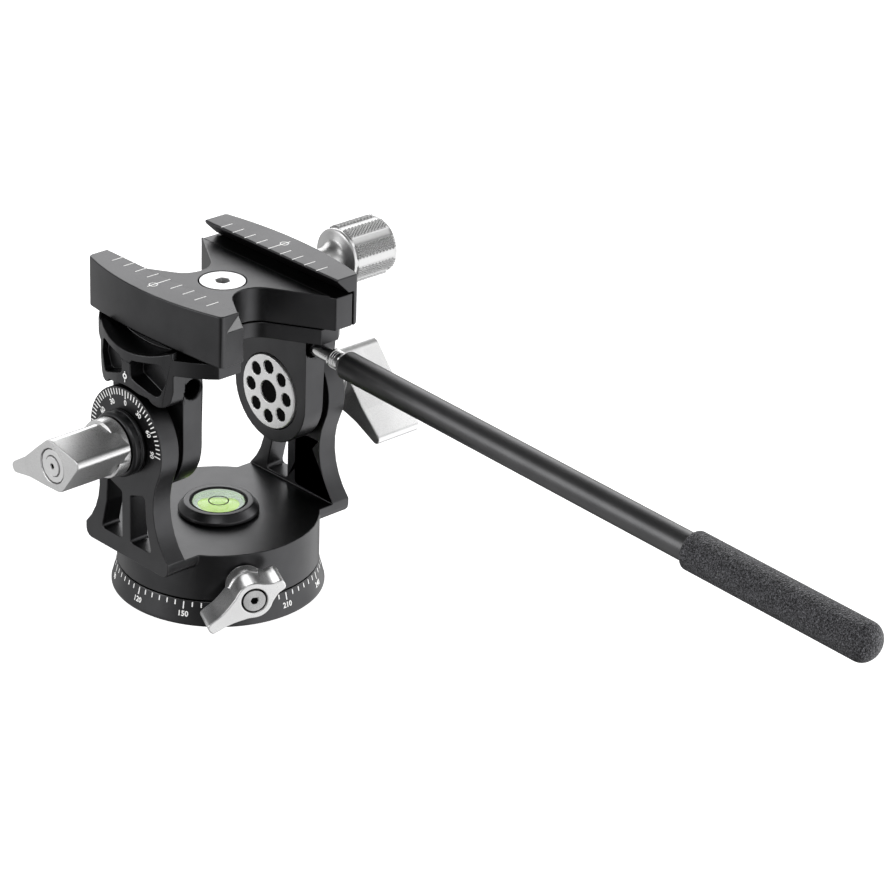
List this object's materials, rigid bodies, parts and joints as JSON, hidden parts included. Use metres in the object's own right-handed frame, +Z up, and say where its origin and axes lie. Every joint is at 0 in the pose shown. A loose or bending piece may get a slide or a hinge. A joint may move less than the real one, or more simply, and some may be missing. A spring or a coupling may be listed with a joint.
{
  "type": "two-way video head",
  "caption": "Two-way pan and tilt video head with a dovetail plate clamp, side lock levers, bubble level and a slim pan handle.",
  "frame": {"origin": "centre of the underside of the panning base, on the pan axis", "axes": "+Z up along the pan axis; the tilt axis runs along X; the handle points along -Y and the clamp knob along +X"},
  "size_m": [0.1161, 0.2493, 0.0958],
  "materials": {
    "black_anodised": "satin black anodised",
    "silver_anodised": "fine turned, clear anodised",
    "steel": "bright turned",
    "brass": "turned",
    "bearing_polymer": "matte",
    "clear_vial": "clear",
    "level_fluid": "tinted liquid",
    "black_tube": "gloss",
    "grip_rubber": "fine speckled grain"
  },
  "bodies": {
    "base": {"base_disc": "black_anodised", "pan_thrust_washer": "bearing_polymer", "pan_spindle": "steel", "pan_retaining_nut": "steel"},
    "yoke": {"yoke": "black_anodised", "level_housing": "black_anodised", "level_vial": "clear_vial", "level_fluid": "level_fluid", "pan_brake_shoe": "brass"},
    "pan_lock": {"pan_lock_lever": "silver_anodised", "pan_lock_stud": "steel", "pan_lock_screw": "steel"},
    "cradle": {"cradle": "black_anodised", "tilt_axle_left": "silver_anodised", "tilt_axle_right": "silver_anodised", "tilt_washer_left": "bearing_polymer", "tilt_washer_right": "bearing_polymer", "tilt_collar_left": "black_anodised", "tilt_collar_right": "black_anodised", "clamp_body": "black_anodised", "clamp_centre_screw": "steel", "clamp_dowel_left": "steel", "clamp_dowel_right": "steel", "handle_stub": "steel", "handle_tube": "black_tube", "handle_grip": "grip_rubber"},
    "tilt_lock_left": {"tilt_lever_left": "silver_anodised", "lever_washer_left": "steel", "lever_screw_left": "steel"},
    "tilt_lock_right": {"tilt_lever_right": "silver_anodised", "lever_washer_right": "steel", "lever_screw_right": "steel"},
    "jaw": {"clamp_jaw": "black_anodised", "jaw_guide_pin_front": "steel", "jaw_guide_pin_back": "steel"},
    "knob": {"clamp_knob": "silver_anodised", "clamp_screw": "steel"}
  },
  "joints": [
    {"name": "pan", "type": "hinge", "parent": "base", "child": "yoke", "pos_m": [0, 0, 0], "axis": [0, 0, 1], "continuous": true},
    {"name": "tilt", "type": "hinge", "parent": "yoke", "child": "cradle", "pos_m": [0, 0, 0.0525], "axis": [1, 0, 0], "range_deg": [-85, 65]},
    {"name": "pan_lock_turn", "type": "hinge", "parent": "yoke", "child": "pan_lock", "pos_m": [0, 0, 0.013], "axis": [-0.4337, -0.9011, 0], "range_deg": [-60, 20]},
    {"name": "tilt_lock_left_turn", "type": "hinge", "parent": "cradle", "child": "tilt_lock_left", "pos_m": [-0.05, 0, 0.0525], "axis": [-1, 0, 0], "range_deg": [-60, 60]},
    {"name": "tilt_lock_right_turn", "type": "hinge", "parent": "cradle", "child": "tilt_lock_right", "pos_m": [0.05, 0, 0.0525], "axis": [1, 0, 0], "range_deg": [-60, 60]},
    {"name": "jaw_slide", "type": "slide", "parent": "cradle", "child": "jaw", "axis": [1, 0, 0], "range_m": [0, 0.004]},
    {"name": "knob_turn", "type": "hinge", "parent": "jaw", "child": "knob", "pos_m": [0.05, 0, 0.0869], "axis": [1, 0, 0], "range_deg": [0, 1440]}
  ],
  "couplings": [
    {"joint": "knob_turn", "follows": "jaw_slide", "rad_per_m": 6283.1}
  ]
}
